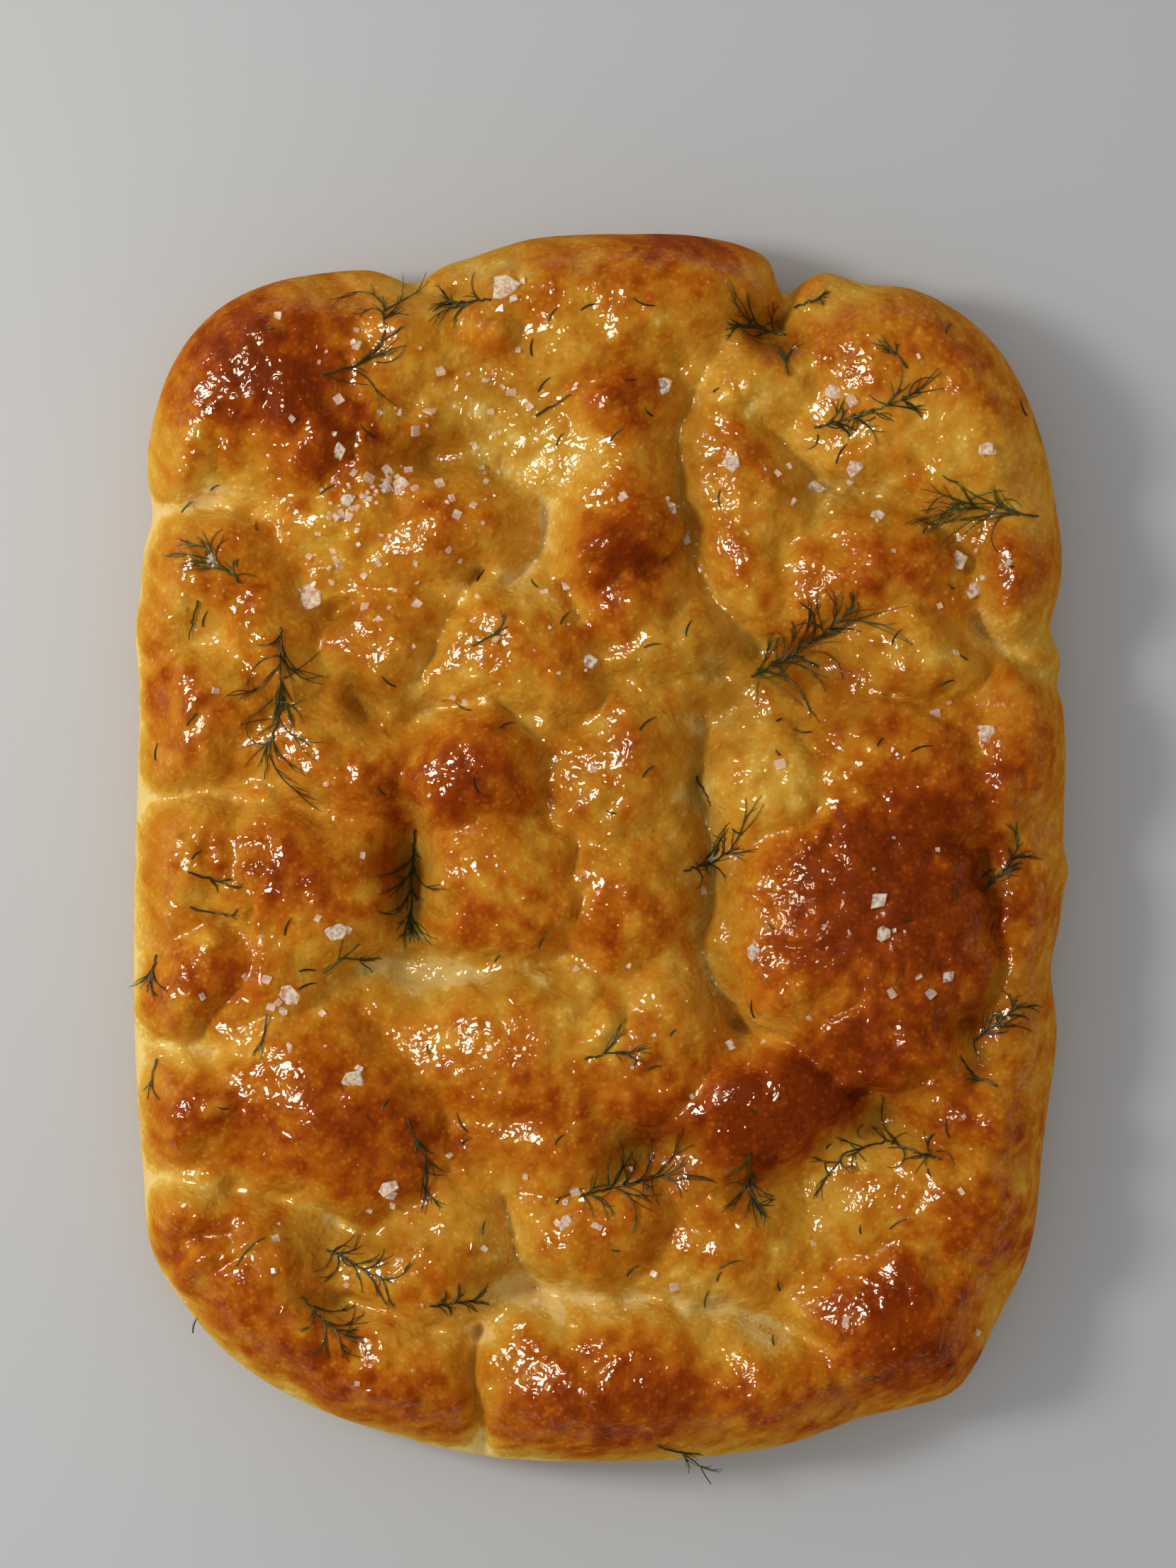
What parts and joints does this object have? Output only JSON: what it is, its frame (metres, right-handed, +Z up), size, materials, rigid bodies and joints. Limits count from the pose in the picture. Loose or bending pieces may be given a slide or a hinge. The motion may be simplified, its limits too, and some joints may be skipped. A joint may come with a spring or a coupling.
{
  "type": "focaccia",
  "caption": "Whole slab of dimpled flat bread with rounded corners, a lumpy oiled crust, flakes of salt baked on and loose sprigs of dill lying over the top.",
  "frame": {"origin": "centre of the bounding box's footprint, on the surface that the loaf lies on", "axes": "+Z up out of the dimpled top, +Y along the slab's long side, +X along its short side to the right"},
  "size_m": [0.21, 0.2808, 0.0431],
  "materials": {
    "crust": "oiled, baked bread crust, golden to red-brown, with pale valleys",
    "dill": "limp, oiled dill threads, dark green"
  },
  "bodies": {
    "root": {"loaf": "crust", "dill_sprig_01": "dill", "dill_sprig_02": "dill", "dill_sprig_03": "dill", "dill_sprig_04": "dill", "dill_sprig_05": "dill", "dill_sprig_06": "dill", "dill_sprig_07": "dill", "dill_sprig_08": "dill", "dill_sprig_09": "dill", "dill_sprig_10": "dill", "dill_sprig_11": "dill", "dill_sprig_12": "dill", "dill_sprig_13": "dill", "dill_sprig_14": "dill", "dill_sprig_15": "dill", "dill_sprig_16": "dill", "dill_sprig_17": "dill", "dill_sprig_18": "dill", "dill_sprig_19": "dill", "dill_sprig_20": "dill", "dill_sprig_21": "dill", "dill_sprig_22": "dill", "dill_sprig_23": "dill", "dill_sprig_24": "dill", "dill_sprig_25": "dill", "dill_sprig_26": "dill", "dill_sprig_27": "dill", "dill_sprig_28": "dill", "dill_sprig_29": "dill", "dill_sprig_30": "dill", "dill_sprig_31": "dill", "dill_sprig_32": "dill", "dill_sprig_33": "dill", "dill_sprig_34": "dill", "dill_sprig_35": "dill"}
  },
  "joints": []
}
